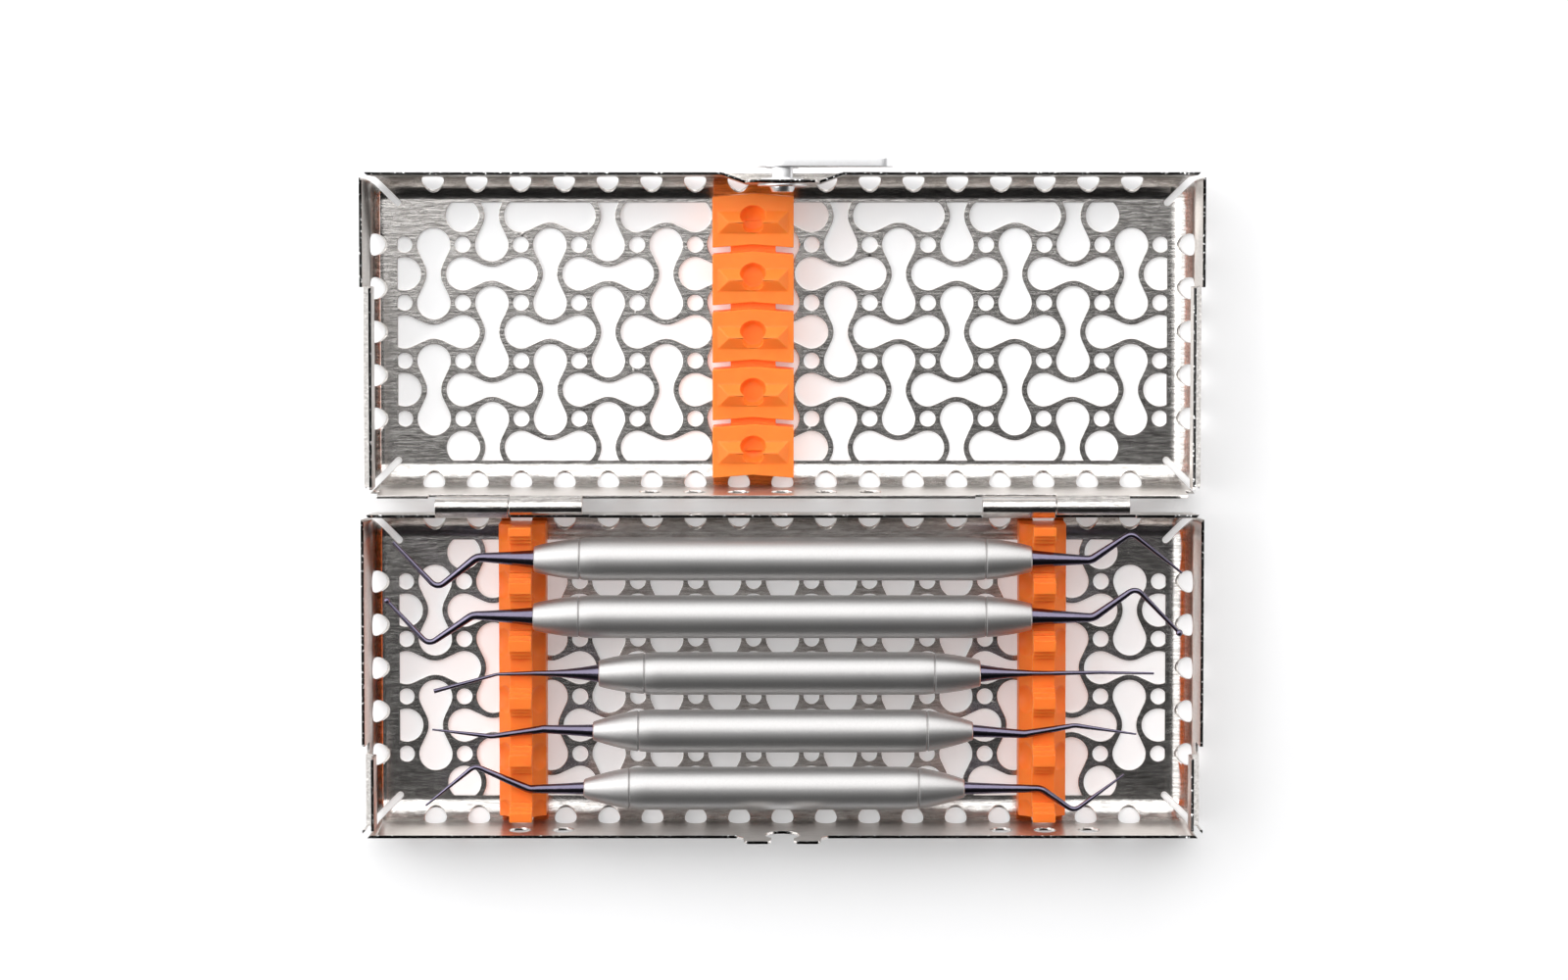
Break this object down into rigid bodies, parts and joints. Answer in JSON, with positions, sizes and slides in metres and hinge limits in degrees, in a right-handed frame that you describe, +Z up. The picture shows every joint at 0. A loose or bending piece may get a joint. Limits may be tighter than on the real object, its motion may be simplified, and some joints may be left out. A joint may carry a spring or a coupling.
{
  "type": "dental instrument cassette",
  "caption": "Hinged perforated steel cassette lying open, with silicone rails, a turning latch and double-ended dental hand instruments in its base.",
  "frame": {"origin": "middle of the open object's length and depth, on the table", "axes": "+X along the hinge towards the end that the latch lever points to, +Y from the base towards the lid, +Z up"},
  "size_m": [0.182, 0.1482, 0.0226],
  "materials": {
    "tray_steel": "electropolished, fine grain along the length",
    "pin_steel": "drawn wire",
    "base_silicone": "matt silicone, slightly translucent",
    "lid_silicone": "matt silicone, slightly translucent",
    "latch_steel": "polished steel",
    "handle_steel": "satin, turned",
    "ferrule_steel": "satin, turned",
    "tip_steel": "polished hardened steel"
  },
  "bodies": {
    "base": {"base_tray": "tray_steel", "hinge_pin_left": "pin_steel", "hinge_pin_right": "pin_steel", "base_rail_left": "base_silicone", "base_rail_right": "base_silicone"},
    "lid": {"lid_tray": "tray_steel", "lid_rail": "lid_silicone", "latch_washer": "latch_steel", "latch_disc": "latch_steel"},
    "latch": {"latch_lever": "latch_steel", "latch_stud": "latch_steel"},
    "instrument_1": {"handle_1": "handle_steel", "ferrule_1_left": "ferrule_steel", "ferrule_1_right": "ferrule_steel", "tip_1_left": "tip_steel", "tip_1_right": "tip_steel"},
    "instrument_2": {"handle_2": "handle_steel", "ferrule_2_left": "ferrule_steel", "ferrule_2_right": "ferrule_steel", "tip_2_left": "tip_steel", "tip_2_right": "tip_steel"},
    "instrument_3": {"handle_3": "handle_steel", "ferrule_3_left": "ferrule_steel", "ferrule_3_right": "ferrule_steel", "tip_3_left": "tip_steel", "tip_3_right": "tip_steel"},
    "instrument_4": {"handle_4": "handle_steel", "ferrule_4_left": "ferrule_steel", "ferrule_4_right": "ferrule_steel", "tip_4_left": "tip_steel", "tip_4_right": "tip_steel"},
    "instrument_5": {"handle_5": "handle_steel", "ferrule_5_left": "ferrule_steel", "ferrule_5_right": "ferrule_steel", "tip_5_left": "tip_steel", "tip_5_right": "tip_steel"}
  },
  "joints": [
    {"name": "lid_hinge", "type": "hinge", "parent": "base", "child": "lid", "pos_m": [0, -0.00171, 0.016], "axis": [-1, 0, 0], "range_deg": [-180, 0]},
    {"name": "latch_turn", "type": "hinge", "parent": "lid", "child": "latch", "pos_m": [0, 0.06869, 0.0168], "axis": [0, -0.9986, 0.0523], "range_deg": [0, 90]},
    {"name": "lift_1", "type": "slide", "parent": "base", "child": "instrument_1", "axis": [0, 0, 1], "range_m": [0, 0.035]},
    {"name": "lift_2", "type": "slide", "parent": "base", "child": "instrument_2", "axis": [0, 0, 1], "range_m": [0, 0.035]},
    {"name": "lift_3", "type": "slide", "parent": "base", "child": "instrument_3", "axis": [0, 0, 1], "range_m": [0, 0.035]},
    {"name": "lift_4", "type": "slide", "parent": "base", "child": "instrument_4", "axis": [0, 0, 1], "range_m": [0, 0.035]},
    {"name": "lift_5", "type": "slide", "parent": "base", "child": "instrument_5", "axis": [0, 0, 1], "range_m": [0, 0.035]}
  ]
}
